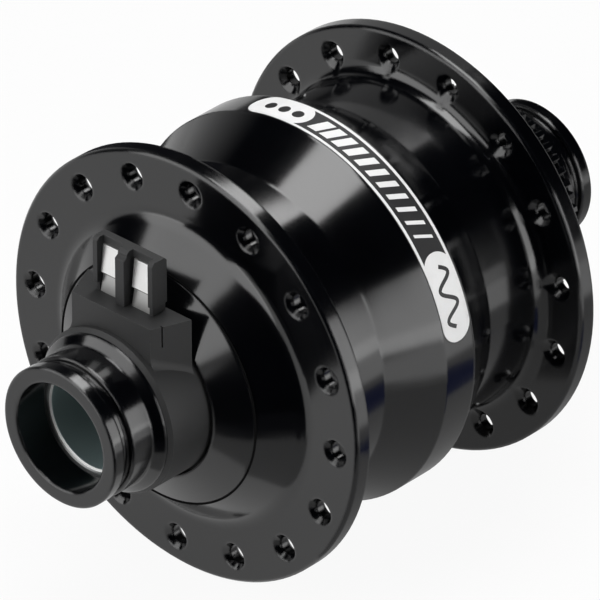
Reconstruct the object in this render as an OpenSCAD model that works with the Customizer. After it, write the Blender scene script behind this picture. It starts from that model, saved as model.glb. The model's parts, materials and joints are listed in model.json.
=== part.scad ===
// Hub dynamo for a bicycle front wheel, with a through-axle and a splined seat for a disc brake rotor.
// The axle lies along Y, the electrical connector is at the -Y end and points up along +Z,
// and the origin is the middle of the hub, half way between the two faces that the fork clamps.

/* [Axle] */
// Distance between the two end faces that the fork clamps
over_locknut = 100; // [98:0.5:112]
// Diameter of the through-axle bore
thru_axle_d = 15; // [12:0.5:15.2]
// Diameter of the axle tube's tip inside the dynamo-side end cap
axle_tip_d = 17; // [16.6:0.1:18]
// Depth of each end of the axle tube below the end face of its cap
axle_inset = 5.9; // [5:0.1:7]
// Bevel at the mouth of the axle tube
axle_bevel = 0.5; // [0.2:0.1:0.7]
// Diameter of the collar that the stator is pushed against
axle_collar_d = 24; // [22:0.5:26]
// Width of that collar
axle_collar_w = 2; // [1:0.25:4]

/* [Spoke flanges] */
// Diameter of the circle that the spoke holes lie on
spoke_circle_d = 58; // [57:0.5:66]
// Number of spoke holes in each flange
spoke_count = 16; // [12:2:20]
// Diameter of a spoke hole in the dynamo-side flange
near_spoke_hole_d = 2.75; // [2.6:0.05:2.9]
// Diameter of a spoke hole in the disc-side flange
far_spoke_hole_d = 2.43; // [2.3:0.01:2.5]
// Diameter of a spoke hole's countersink at the flange face
spoke_sink_d = 4.2; // [3.4:0.1:4.8]
// Depth of a spoke hole's countersink
spoke_sink_depth = 0.8; // [0.4:0.1:1]
// Turn of the dynamo-side flange's first hole from straight up, in degrees
spoke_phase = 3.3; // [0:0.1:20]
// Flange material outside the spoke circle
flange_margin = 4.1; // [3.5:0.1:6]
// Thickness of a flange
flange_t = 3; // [2.6:0.1:4]
// Distance between the middles of the two flanges
flange_spread = 47; // [45:0.5:50]
// Bevel on the rim of a flange
flange_bevel = 0.4; // [0.2:0.1:0.8]
// Fillet between a flange and the neck of the shell
flange_fillet = 2.2; // [1:0.1:3.5]

/* [Shell] */
// Diameter of the plain band round the middle of the drum
band_d = 60; // [58:0.5:66]
// Width of that band
band_w = 6; // [4:0.5:8]
// Width of the drum from neck to neck
drum_w = 22; // [20:0.5:26]
// Diameter of the necks between the drum and the flanges
neck_d = 51.2; // [50:0.2:53]
// Wall of the necks
shell_wall = 2; // [1.5:0.1:3]
// Thickness of each end wall, measured from the outer face of its flange
end_wall_t = 5; // [3.5:0.1:7]
// Length of the spigot that joins the two halves of the shell
spigot_len = 4; // [2:0.25:6]
// Wall of that spigot
spigot_wall = 1.4; // [1:0.1:2]
// Bevel on the edges that meet at a joint of the shell
joint_bevel = 0.15; // [0.05:0.05:0.3]

/* [Dynamo-side nose] */
// Diameter of the nose where it leaves the flange
nose_root_d = 47; // [44:0.5:50]
// Width of the joint between the nose and its side cover, outside the cover's spigot
seam_land = 1.15; // [0.8:0.05:2]
// Height of that joint above the flange
seam_h = 4.9; // [4:0.1:6]
// Fillet between the nose and the flange
nose_fillet = 3; // [0.5:0.1:4]
// Height of the side cover above its joint
cover_h = 3.1; // [2.6:0.1:4]
// Wall of the side cover round the bearing
cover_wall = 1.5; // [1:0.1:1.8]
// Width of the lip at the tip of the side cover
cover_lip = 0.3; // [0.1:0.05:0.6]
// Thickness of the dust seal in the side cover
dust_seal_t = 1.4; // [1:0.1:1.6]
// Distance from the dynamo-side bearing to that seal
dust_seal_gap = 0.5; // [0.3:0.1:0.7]

/* [Disc-side nose] */
// Diameter of the nose where it leaves the flange
disc_root_d = 49; // [46:0.5:51]
// Diameter of the shoulder that stops the brake rotor
rotor_stop_d = 41; // [38:0.5:44]
// Width of the straight rim of that shoulder
rotor_stop_w = 1.4; // [0.8:0.1:2.5]
// Outside diameter of the rotor spline
spline_d = 34; // [33.6:0.1:36]
// Height of a spline tooth
spline_tooth_h = 0.8; // [0.4:0.1:0.9]
// Number of spline teeth
spline_count = 52; // [36:1:60]
// Width of a tooth's tip as a part of the tooth spacing
spline_tip_part = 0.4; // [0.3:0.02:0.5]
// Width of a tooth's foot as a part of the tooth spacing
spline_foot_part = 0.68; // [0.56:0.02:0.8]
// Length of the spline
spline_len = 7.8; // [6:0.1:9]
// Distance from the end of the spline to the end face that the fork clamps
spline_offset = 10; // [9:0.1:14]
// Bore for the rotor's lockring thread
lockring_d = 30.6; // [30.2:0.1:31.4]
// Depth of that bore
lockring_depth = 7; // [5:0.1:7.4]

/* [Dynamo-side bearing] */
// Bore of the dynamo-side bearing, which is also the axle's main diameter
near_bearing_bore = 20; // [19:0.5:20]
// Outside diameter of the dynamo-side bearing
near_bearing_od = 32; // [31:0.5:33]
// Width of the dynamo-side bearing
near_bearing_w = 7; // [6.4:0.1:8]
// Number of the dynamo-side bearing's balls
near_ball_count = 12; // [8:1:13]
// Depth of the dynamo-side bearing behind the side cover's joint
near_bearing_recess = 0.3; // [0.1:0.1:1]

/* [Disc-side bearing] */
// Bore of the disc-side bearing
far_bearing_bore = 17; // [16.6:0.1:17.6]
// Outside diameter of the disc-side bearing
far_bearing_od = 30; // [28:0.5:30]
// Width of the disc-side bearing
far_bearing_w = 7; // [6.6:0.1:8]
// Number of the disc-side bearing's balls
far_ball_count = 10; // [7:1:11]
// Width of the shoulder that the disc-side bearing is pressed against
far_shoulder_w = 1.4; // [0.8:0.1:1.8]

/* [Bearing details] */
// Thickness of a race as a part of the height from a bearing's bore to its outside
race_part = 0.34; // [0.3:0.01:0.36]
// Ball diameter as a part of the mean of that height and the bearing's width
ball_part = 0.54; // [0.5:0.01:0.56]
// Clearance between a ball and its raceways
ball_fit = 0.05; // [0.02:0.01:0.08]
// Clearance between a ball and its cage pocket
pocket_fit = 0.1; // [0.05:0.01:0.15]
// Radial thickness of a ball cage
cage_t = 1.2; // [0.9:0.1:1.4]
// Wall of a ball cage beside its pockets
cage_wall = 0.3; // [0.2:0.05:0.4]
// Thickness of a bearing seal
seal_t = 0.45; // [0.35:0.05:0.6]
// Depth of a bearing seal behind the bearing's face
seal_inset = 0.2; // [0.1:0.05:0.3]
// Gap between a seal's lip and the part that turns inside it
lip_gap = 0.15; // [0.1:0.05:0.25]

/* [Generator] */
// Number of claws on each claw plate, which is half the number of magnets
pole_pairs = 13; // [9:1:14]
// Wall of the drum outside the corners of the flux ring
drum_wall = 1.75; // [1.5:0.05:2.2]
// Thickness of the flux ring
flux_ring_t = 1.5; // [1:0.1:2]
// Width of the flux ring, its magnets and the stator inside them
magnet_w = 16; // [14:0.5:17]
// Thickness of a magnet
magnet_t = 2; // [1.5:0.1:2.4]
// Gap between one magnet and the next, in degrees
magnet_gap = 1.5; // [0.5:0.1:3]
// Air gap between the magnets and the claws
air_gap = 0.4; // [0.3:0.05:0.8]
// Thickness of a claw
claw_t = 1.3; // [1:0.1:1.6]
// Width of a claw at its root
claw_root_w = 3.8; // [3:0.1:4.2]
// Width of a claw at its tip
claw_tip_w = 2.2; // [1.5:0.1:3]
// Distance from a claw's tip to the outer face of the opposite plate
claw_tip_gap = 0.5; // [0.2:0.1:1.2]
// Thickness of the plate that carries the claws
claw_plate_t = 1.5; // [1:0.1:2]
// Wall of the steel core between the two claw plates
core_wall = 3.5; // [2.5:0.1:4]
// Wall of the coil bobbin's tube
bobbin_wall = 0.8; // [0.5:0.1:1.2]
// Thickness of a bobbin cheek
bobbin_cheek_t = 1; // [0.6:0.1:1.4]
// Gap between the bobbin cheeks and the claws
bobbin_gap = 0.3; // [0.2:0.05:0.6]
// Depth of the winding below the rim of the bobbin cheeks
coil_inset = 0.6; // [0.2:0.1:1.2]
// Wall of the spacers on the axle
spacer_wall = 1.8; // [1.4:0.1:2]

/* [Connector] */
// Diameter of the connector's ring
connector_d = 25.2; // [24.4:0.1:26]
// Length of the connector's ring
connector_w = 8.3; // [7.6:0.1:9.6]
// Depth of the connector's ring inside the side cover
connector_insert = 0.5; // [0.3:0.1:0.9]
// Gap between the connector's ring and the side cover that turns round it
cover_gap = 0.4; // [0.3:0.05:0.8]
// Bevel on the front edge of the connector's ring
connector_bevel = 0.6; // [0.2:0.1:0.8]
// Distance from the front of the ring to the front of the connector block
block_setback = 1.4; // [1:0.1:1.6]
// Width of the connector block at its front
block_front_w = 15; // [14:0.2:17]
// Width of the connector block at its back
block_back_w = 19.8; // [17.2:0.2:21]
// Depth of the connector block
block_depth = 5.8; // [5.6:0.1:6]
// Height of the connector block's top above the axle's centre line
shelf_h = 16; // [15.4:0.1:18]
// Fillet between the connector block and its ring
block_fillet = 3; // [1:0.1:4]
// Width of the slit in each side of the connector block
slit_w = 0.25; // [0.15:0.05:0.5]
// Depth of that slit
slit_depth = 0.4; // [0.2:0.05:0.6]
// Length of that slit below the top of the block
slit_len = 3.4; // [2:0.1:4]
// Distance from the front of the connector block to that slit
slit_setback = 1.7; // [1:0.1:3]
// Width of the terminal tower
tower_w = 11.4; // [11.2:0.1:12]
// Depth of the terminal tower
tower_t = 3; // [2.6:0.1:3.2]
// Distance from the front of the connector block to the front of the tower
tower_setback = 2.4; // [2:0.1:2.6]
// Height of the plinth under the tower
plinth_h = 1.4; // [0.8:0.1:2]
// Inset of the plinth from the sides of the tower
plinth_inset = 0.4; // [0.2:0.1:0.6]
// Height of the tower above its plinth
tower_h = 7.3; // [6.6:0.1:9]
// Width of a terminal window
window_w = 3.9; // [3.7:0.1:4]
// Width of the post between the two windows
post_w = 1.75; // [1.4:0.05:1.9]
// Distance that this post stands in front of the tower
post_reach = 0.6; // [0.3:0.1:0.9]
// Height of the bar over the windows
bar_h = 1.3; // [0.8:0.1:1.8]
// Distance of that bar behind the front of the tower
bar_setback = 1.3; // [0.8:0.1:1.4]
// Bevel on the upper edges of the tower
tower_bevel = 0.5; // [0.2:0.1:0.5]
// Depth of the contacts behind the front of the tower
contact_inset = 1.1; // [0.9:0.1:1.3]
// Thickness of a contact
contact_t = 0.4; // [0.3:0.05:0.5]
// Width of a contact
contact_w = 3.4; // [3:0.1:3.5]
// Gap between a contact and the outer side of its window
contact_gap = 0.1; // [0.05:0.05:0.15]
// Height of the fold across a contact above the block's top
contact_fold_h = 3; // [2:0.1:4]
// Distance that a contact stands forward at its fold
contact_bulge = 0.55; // [0.3:0.05:0.7]
// Distance that a contact's lower part leans forward at the block's top
contact_lean = 0.6; // [0.2:0.05:0.7]
// Depth of a contact's foot below the block's top
contact_foot = 2.8; // [2:0.1:3.2]

/* [Leads] */
// Diameter of a lead's insulation
lead_d = 1.1; // [0.8:0.05:1.2]
// Distance from the middle of the hub to each lead
lead_offset = 1.5; // [1.3:0.1:1.7]
// Clearance round a lead in its holes
lead_fit = 0.2; // [0.1:0.05:0.3]
// Width of the groove along the axle for the leads
lead_groove_w = 5; // [4.6:0.1:6]
// Depth of that groove
lead_groove_depth = 1.6; // [1.4:0.1:1.9]
// Depth of a lead's exit under the outside of the winding
lead_exit_depth = 2.9; // [1.4:0.1:3.4]
// Distance from the stator to the leads' way down into the groove
lead_drop_gap = 1.2; // [0.9:0.1:2]

/* [End caps] */
// Outside diameter of an end cap
cap_d = 21.4; // [20.4:0.1:22]
// Diameter of an end cap's open mouth
cap_bore_d = 16.5; // [16:0.1:16.5]
// Diameter of the dynamo-side cap's collar
cap_collar_d = 24.1; // [23:0.1:25]
// Length of the cone that leads up to that collar
cap_cone_len = 1.5; // [1:0.1:2]
// Width of the rim at the tip of a cap
cap_rim_w = 2.2; // [1.5:0.1:3]
// Width of the groove behind that rim
cap_groove_w = 1.5; // [0.8:0.1:2]
// Depth of that groove
cap_groove_depth = 0.9; // [0.4:0.1:1.1]
// Bevel on the edges of a cap
cap_bevel = 0.25; // [0.1:0.05:0.4]
// Diameter of the disc-side cap's dust shield
shield_d = 27; // [24:0.5:29]
// Thickness of that shield
shield_t = 1; // [0.6:0.1:1.5]
// Distance from the disc-side bearing to that shield
shield_gap = 0.8; // [0.5:0.1:1.5]
// Section of the rubber ring that holds a cap on the axle
o_ring_t = 1; // [0.8:0.05:1.2]
// Distance from the inner end of a cap's seat to its rubber ring
o_ring_offset = 1.1; // [0.9:0.1:1.5]
// Clearance round the rubber ring in its groove
o_ring_fit = 0.02; // [0.01:0.01:0.05]

/* [Hidden] */
$fn = 96;

// Places along the axle
end_y = over_locknut / 2;
axle_end = end_y - axle_inset;
flange_mid = flange_spread / 2;
flange_out = flange_mid + flange_t / 2;
flange_in = flange_mid - flange_t / 2;
cavity_end = flange_out - end_wall_t;
band_edge = band_w / 2;
drum_edge = drum_w / 2;
spigot_end = band_edge - spigot_len;
magnet_edge = magnet_w / 2;
core_edge = magnet_edge - claw_plate_t;
coil_edge = core_edge - bobbin_cheek_t;
seam_y = -flange_out - seam_h;
cover_tip = seam_y - cover_h;
near_bearing_y = seam_y + near_bearing_recess;
near_bearing_end = near_bearing_y + near_bearing_w;
connector_back = cover_tip + connector_insert;
connector_front = connector_back - connector_w;
spline_end = end_y - spline_offset;
spline_start = spline_end - spline_len;
far_bearing_end = spline_end - lockring_depth;
far_bearing_y = far_bearing_end - far_bearing_w;

// Radii
bore_r = thru_axle_d / 2;
axle_tip_r = axle_tip_d / 2;
axle_r = near_bearing_bore / 2;
far_axle_r = far_bearing_bore / 2;
spacer_r = axle_r + spacer_wall;
flange_r = spoke_circle_d / 2 + flange_margin;
band_r = band_d / 2;
neck_r = neck_d / 2;
cavity_r = neck_r - shell_wall;
flux_r = neck_r + (band_r - neck_r) * (drum_edge - magnet_edge) / (drum_edge - band_edge) - drum_wall;
magnet_r = flux_r - flux_ring_t;
claw_r = magnet_r - magnet_t - air_gap;
claw_in_r = claw_r - claw_t;
core_r = axle_r + core_wall;
bobbin_r = core_r + bobbin_wall;
cheek_r = claw_in_r - bobbin_gap;
coil_r = cheek_r - coil_inset;
spigot_r = flux_r + spigot_wall;
near_seat_r = near_bearing_od / 2;
far_seat_r = far_bearing_od / 2;
cover_spigot_r = near_seat_r + cover_wall;
seam_r = cover_spigot_r + seam_land;
connector_r = connector_d / 2;
cover_hole_r = connector_r + cover_gap;
cap_r = cap_d / 2;
cap_bore_r = cap_bore_d / 2;
cap_groove_r = cap_r - cap_groove_depth;
spline_r = spline_d / 2;
spline_root_r = spline_r - spline_tooth_h;
lockring_r = lockring_d / 2;
far_passage_r = far_seat_r - far_shoulder_w;
// Sleeve under the spline teeth, half way from their roots to the lockring's bore
sleeve_r = (spline_root_r + lockring_r) / 2;

// Places in the connector
block_front = connector_front + block_setback;
block_back = block_front + block_depth;
tower_front = block_front + tower_setback;
tower_back = tower_front + tower_t;
tower_base = shelf_h + plinth_h;
tower_top = tower_base + tower_h;
contact_front = tower_front + contact_inset;
contact_back = contact_front + contact_t;
window_x = (post_w + window_w) / 2;
contact_x = post_w / 2 + window_w - contact_gap - contact_w / 2;
contact_top = tower_top - bar_h;
contact_low = shelf_h - contact_foot;

// Route of a lead: out of the winding, down into the axle's groove, along it and up to a contact
lead_r = lead_d / 2;
lead_hole_r = lead_r + lead_fit;
lead_exit_r = coil_r - lead_exit_depth;
groove_floor = axle_r - lead_groove_depth;
lead_z = groove_floor + lead_r;
lead_drop_y = -magnet_edge - lead_drop_gap;
lead_rise_y = contact_back + lead_r;
lead_end_z = contact_low + contact_t + lead_r;

// A bearing is given by its bore, outside diameter, width, ball diameter and number of balls
function ball_d(bore, od, width) = ball_part * ((od - bore) / 2 + width) / 2;
near_bearing = [near_bearing_bore, near_bearing_od, near_bearing_w,
    ball_d(near_bearing_bore, near_bearing_od, near_bearing_w), near_ball_count];
far_bearing = [far_bearing_bore, far_bearing_od, far_bearing_w,
    ball_d(far_bearing_bore, far_bearing_od, far_bearing_w), far_ball_count];

// Overlap that lets a cut reach past the face it starts from
cut = 1;
// Number of flat strips in the fillet on each side of the connector block
fillet_strips = 10;

black_metal = "#1c1d1f";
bare_metal = "#9a9da0";
grey_plastic = "#3d3e40";
steel = "#b4b7ba";
rubber = "#26272a";
copper = "#b06a34";

function unit(v) = v / norm(v);

// Turns a flat outline, drawn as radius against place along the axle, round the axle
module turned() {
    rotate([-90, 0, 0])
        rotate_extrude()
            children();
}

// A plain ring round the axle
module ring(inner_r, outer_r, from_y, to_y) {
    turned()
        translate([inner_r, from_y])
            square([outer_r - inner_r, to_y - from_y]);
}

// The two points at which a concave fillet in a corner of an outline leaves the walls of that corner
function fillet_ends(corner, wall_a, wall_b, radius) =
    let (reach = radius / tan(acos(unit(wall_a) * unit(wall_b)) / 2))
    [corner + unit(wall_a) * reach, corner + unit(wall_b) * reach];

// The circle that rounds the outline between those two points
module fillet_circle(corner, wall_a, wall_b, radius) {
    half = acos(unit(wall_a) * unit(wall_b)) / 2;
    translate(corner + unit(unit(wall_a) + unit(wall_b)) * radius / sin(half))
        circle(radius);
}

// Countersunk spoke holes of diameter hole_d through the flange whose middle is at mid_y
module spoke_holes(mid_y, phase, hole_d) {
    pitch = 360 / spoke_count;
    slope = (spoke_sink_d - hole_d) / 2 / spoke_sink_depth;
    for (i = [0 : spoke_count - 1])
        rotate([0, phase + i * pitch, 0])
            translate([0, mid_y, spoke_circle_d / 2]) {
                rotate([90, 0, 0])
                    cylinder(h = flange_t + 2 * cut, d = hole_d, center = true);
                for (side = [-90, 90])
                    rotate([side, 0, 0])
                        translate([0, 0, flange_t / 2 - spoke_sink_depth])
                            cylinder(h = spoke_sink_depth + cut, r1 = hole_d / 2,
                                r2 = spoke_sink_d / 2 + slope * cut);
            }
}

// Radius of a bearing's ball path, thickness of its races, and the radii between which they leave room
function path_r(bearing) = (bearing[0] + bearing[1]) / 4;
function race_t(bearing) = race_part * (bearing[1] - bearing[0]) / 2;
function inner_land(bearing) = bearing[0] / 2 + race_t(bearing);
function outer_land(bearing) = bearing[1] / 2 - race_t(bearing);

module raceway(bearing, from_y) {
    translate([path_r(bearing), from_y + bearing[2] / 2])
        circle(d = bearing[3] + 2 * ball_fit);
}

module inner_race(bearing, from_y) {
    color(steel)
        turned()
            difference() {
                translate([bearing[0] / 2, from_y])
                    square([race_t(bearing), bearing[2]]);
                raceway(bearing, from_y);
            }
}

module outer_race(bearing, from_y) {
    color(steel)
        turned()
            difference() {
                translate([outer_land(bearing), from_y])
                    square([race_t(bearing), bearing[2]]);
                raceway(bearing, from_y);
            }
}

module bearing_seal(bearing, from_y) {
    color(rubber)
        ring(inner_land(bearing) + lip_gap, outer_land(bearing), from_y, from_y + seal_t);
}

module around_ball_path(bearing, from_y) {
    for (i = [0 : bearing[4] - 1])
        rotate([0, i * 360 / bearing[4], 0])
            translate([0, from_y + bearing[2] / 2, path_r(bearing)])
                children();
}

module balls(bearing, from_y) {
    color(steel)
        around_ball_path(bearing, from_y)
            sphere(d = bearing[3]);
}

module cage(bearing, from_y) {
    half_w = bearing[3] / 2 + pocket_fit + cage_wall;
    mid_y = from_y + bearing[2] / 2;
    color("#8c6f3f")
        difference() {
            ring(path_r(bearing) - cage_t / 2, path_r(bearing) + cage_t / 2, mid_y - half_w, mid_y + half_w);
            around_ball_path(bearing, from_y)
                sphere(d = bearing[3] + 2 * pocket_fit);
        }
}

// Shell half with the dynamo-side flange, its nose and the drum
module main_shell() {
    nose_edge = [seam_r, seam_y + joint_bevel];
    nose_corner = [nose_root_d / 2, -flange_out];
    nose_wall = nose_edge - nose_corner;
    neck_corner = [neck_r, -flange_in];
    color(black_metal)
        difference() {
            turned()
                difference() {
                    polygon(concat(
                        [
                            [cover_spigot_r, seam_y],
                            [seam_r - joint_bevel, seam_y],
                            nose_edge
                        ],
                        fillet_ends(nose_corner, nose_wall, [1, 0], nose_fillet),
                        [
                            [flange_r - flange_bevel, -flange_out],
                            [flange_r, -flange_out + flange_bevel],
                            [flange_r, -flange_in - flange_bevel],
                            [flange_r - flange_bevel, -flange_in]
                        ],
                        fillet_ends(neck_corner, [1, 0], [0, 1], flange_fillet),
                        [
                            [neck_r, -drum_edge],
                            [band_r, -band_edge],
                            [band_r, band_edge - joint_bevel],
                            [band_r - joint_bevel, band_edge],
                            [spigot_r, band_edge],
                            [spigot_r, spigot_end],
                            [flux_r, spigot_end],
                            [flux_r, -magnet_edge],
                            [cavity_r, -magnet_edge],
                            [cavity_r, -cavity_end],
                            [cover_spigot_r, -cavity_end]
                        ]
                    ));
                    fillet_circle(nose_corner, nose_wall, [1, 0], nose_fillet);
                    fillet_circle(neck_corner, [1, 0], [0, 1], flange_fillet);
                }
            spoke_holes(-flange_mid, spoke_phase, near_spoke_hole_d);
        }
}

// Teeth that carry the brake rotor, as a toothed outline drawn out along the axle from inside the shoulder
module rotor_spline() {
    pitch = 360 / spline_count;
    foot = spline_foot_part / 2;
    tip = spline_tip_part / 2;
    corners = [[-foot, spline_root_r], [-tip, spline_r], [tip, spline_r], [foot, spline_root_r]];
    sunk = rotor_stop_w / 2;
    rotate([-90, 0, 0])
        translate([0, 0, spline_start - sunk])
            linear_extrude(spline_len + sunk)
                difference() {
                    polygon([for (i = [0 : spline_count - 1]) for (c = corners)
                        c[1] * [cos((i + c[0]) * pitch), sin((i + c[0]) * pitch)]]);
                    circle((sleeve_r + lockring_r) / 2);
                }
}

// Shell half with the disc-side flange and the rotor's seat
module disc_side_shell() {
    neck_corner = [neck_r, flange_in];
    disc_corner = [disc_root_d / 2, flange_out];
    stop_edge = [rotor_stop_d / 2, spline_start - rotor_stop_w];
    disc_wall = stop_edge - disc_corner;
    color(black_metal)
        difference() {
            union() {
                turned()
                    difference() {
                        polygon(concat(
                            [
                                [flux_r, spigot_end],
                                [spigot_r, spigot_end],
                                [spigot_r, band_edge],
                                [band_r - joint_bevel, band_edge],
                                [neck_r, drum_edge]
                            ],
                            fillet_ends(neck_corner, [0, -1], [1, 0], flange_fillet),
                            [
                                [flange_r - flange_bevel, flange_in],
                                [flange_r, flange_in + flange_bevel],
                                [flange_r, flange_out - flange_bevel],
                                [flange_r - flange_bevel, flange_out]
                            ],
                            fillet_ends(disc_corner, [1, 0], disc_wall, nose_fillet),
                            [
                                stop_edge,
                                [rotor_stop_d / 2, spline_start],
                                [sleeve_r, spline_start],
                                [sleeve_r, spline_end],
                                [lockring_r, spline_end],
                                [lockring_r, far_bearing_end],
                                [far_seat_r, far_bearing_end],
                                [far_seat_r, far_bearing_y],
                                [far_passage_r, far_bearing_y],
                                [far_passage_r, cavity_end],
                                [cavity_r, cavity_end],
                                [cavity_r, magnet_edge],
                                [flux_r, magnet_edge]
                            ]
                        ));
                        fillet_circle(neck_corner, [0, -1], [1, 0], flange_fillet);
                        fillet_circle(disc_corner, [1, 0], disc_wall, nose_fillet);
                    }
                rotor_spline();
            }
            spoke_holes(flange_mid, spoke_phase + 180 / spoke_count, far_spoke_hole_d);
        }
}

// Cone that closes the nose and carries the dynamo-side bearing
module side_cover() {
    color(black_metal)
        turned()
            polygon([
                [cover_hole_r, cover_tip],
                [cover_hole_r + cover_lip, cover_tip],
                [seam_r, seam_y - joint_bevel],
                [seam_r - joint_bevel, seam_y],
                [cover_spigot_r, seam_y],
                [cover_spigot_r, near_bearing_end],
                [near_seat_r, near_bearing_end],
                [near_seat_r, near_bearing_y],
                [cover_hole_r, near_bearing_y]
            ]);
}

// Lip seal in the mouth of the side cover, running on the connector's spacer
module cover_dust_seal() {
    seal_end = near_bearing_y - dust_seal_gap;
    color(rubber)
        ring(spacer_r + lip_gap, cover_hole_r, seal_end - dust_seal_t, seal_end);
}

// Steel ring that carries the magnets inside the drum
module flux_ring() {
    color(steel)
        ring(magnet_r, flux_r, -magnet_edge, magnet_edge);
}

// Ring of arc magnets, of alternate poles
module magnets() {
    pitch = 180 / pole_pairs;
    color("#4a4c50")
        for (i = [0 : 2 * pole_pairs - 1])
            rotate([-90, 0, 0])
                rotate([0, 0, i * pitch])
                    rotate_extrude(angle = pitch - magnet_gap)
                        translate([magnet_r - magnet_t, -magnet_edge])
                            square([magnet_t, magnet_w]);
}

// Hollow axle with a seat for each bearing, a collar for the stator and a groove for the leads
module axle_tube() {
    color(bare_metal)
        difference() {
            turned()
                polygon([
                    [bore_r, -axle_end + axle_bevel],
                    [bore_r + axle_bevel, -axle_end],
                    [axle_tip_r, -axle_end],
                    [axle_tip_r, connector_front],
                    [axle_r, connector_front],
                    [axle_r, magnet_edge],
                    [axle_collar_d / 2, magnet_edge],
                    [axle_collar_d / 2, magnet_edge + axle_collar_w],
                    [axle_r, magnet_edge + axle_collar_w],
                    [axle_r, far_bearing_y],
                    [far_axle_r, far_bearing_y],
                    [far_axle_r, axle_end],
                    [bore_r + axle_bevel, axle_end],
                    [bore_r, axle_end - axle_bevel]
                ]);
            translate([-lead_groove_w / 2, lead_rise_y - lead_hole_r, groove_floor])
                cube([lead_groove_w, -magnet_edge - lead_rise_y + lead_hole_r, axle_r]);
        }
}

// Outline of the tip that both end caps share, as radius against depth below the end face
cap_tip_outline = [
    [cap_bore_r, axle_inset],
    [cap_bore_r, cap_bevel],
    [cap_bore_r + cap_bevel, 0],
    [cap_r - cap_bevel, 0],
    [cap_r, cap_bevel],
    [cap_r, cap_rim_w - cap_bevel],
    [cap_r - cap_bevel, cap_rim_w],
    [cap_groove_r, cap_rim_w],
    [cap_groove_r, cap_rim_w + cap_groove_w],
    [cap_r - cap_bevel, cap_rim_w + cap_groove_w],
    [cap_r, cap_rim_w + cap_groove_w + cap_bevel]
];

// Outline of the cap's seat on the axle, with the groove for its rubber ring
function cap_seat_outline(seat_r, seat_depth) = [
    [seat_r, seat_depth],
    [seat_r, seat_depth - o_ring_offset + o_ring_t / 2 + o_ring_fit],
    [seat_r + o_ring_t + 2 * o_ring_fit, seat_depth - o_ring_offset + o_ring_t / 2 + o_ring_fit],
    [seat_r + o_ring_t + 2 * o_ring_fit, seat_depth - o_ring_offset - o_ring_t / 2 - o_ring_fit],
    [seat_r, seat_depth - o_ring_offset - o_ring_t / 2 - o_ring_fit],
    [seat_r, axle_inset]
];

module o_ring(seat_r, at_y) {
    color(rubber)
        turned()
            translate([seat_r + o_ring_t / 2 + o_ring_fit, at_y])
                circle(d = o_ring_t);
}

near_cap_len = end_y + connector_front;
far_cap_len = end_y - far_bearing_end;

// Cap on the dynamo end of the axle, with a collar that holds the connector
module dynamo_end_cap() {
    collar_r = cap_collar_d / 2;
    color(black_metal)
        translate([0, -end_y, 0])
            turned()
                polygon(concat(cap_tip_outline, [
                    [cap_r, near_cap_len - cap_cone_len],
                    [collar_r, near_cap_len - cap_bevel],
                    [collar_r, near_cap_len]
                ], cap_seat_outline(axle_tip_r, near_cap_len)));
}

// Cap on the disc end of the axle, with a shield over the bearing
module disc_end_cap() {
    shield_in = far_cap_len - shield_gap;
    color(black_metal)
        translate([0, end_y, 0])
            mirror([0, 1, 0])
                turned()
                    polygon(concat(cap_tip_outline, [
                        [cap_r, shield_in - shield_t],
                        [shield_d / 2, shield_in - shield_t],
                        [shield_d / 2, shield_in],
                        [inner_land(far_bearing), shield_in],
                        [inner_land(far_bearing), far_cap_len]
                    ], cap_seat_outline(far_axle_r, far_cap_len)));
}

module dynamo_cap_o_ring() {
    o_ring(axle_tip_r, connector_front - o_ring_offset);
}

module disc_cap_o_ring() {
    o_ring(far_axle_r, far_bearing_end + o_ring_offset);
}

// Half outline of the connector block across the axle: down its side and round the fillet to the ring
function block_side(half_w) =
    let (
        middle_x = half_w + block_fillet,
        middle = [middle_x, sqrt(pow(connector_r + block_fillet, 2) - pow(middle_x, 2))],
        last = atan2(middle[1], middle[0])
    )
    concat(
        [[half_w, shelf_h]],
        [for (i = [0 : fillet_strips])
            let (turn = 180 + i * last / fillet_strips)
            middle + block_fillet * [cos(turn), sin(turn)]],
        [[axle_r * cos(last), axle_r * sin(last)]]
    );

// Whole outline of the block, with its left side the mirror image of its right side
function block_outline(half_w) =
    let (
        right = block_side(half_w),
        last = len(right) - 1
    )
    concat(right, [for (i = [last : -1 : 0]) [-right[i][0], right[i][1]]]);

// Block that widens towards the back, lofted between its front and back outlines. Its two end faces are
// made of level strips, since the fillets leave them hollow at the sides.
module connector_block() {
    front = block_outline(block_front_w / 2);
    back = block_outline(block_back_w / 2);
    count = len(front);
    points = concat(
        [for (p = front) [p[0], block_front, p[1]]],
        [for (p = back) [p[0], block_back, p[1]]]
    );
    last = count - 1;
    front_strips = [for (i = [0 : count / 2 - 2]) [i, i + 1, last - i - 1, last - i]];
    back_strips = [for (strip = front_strips) [for (i = [3 : -1 : 0]) count + strip[i]]];
    sides = [for (i = [0 : count - 1])
        let (next = (i + 1) % count)
        [i, count + i, count + next, next]];
    polyhedron(points, concat(front_strips, back_strips, sides));
}

module on_each_side(x) {
    for (side = [-1, 1])
        translate([side * x, 0, 0])
            children();
}

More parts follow.
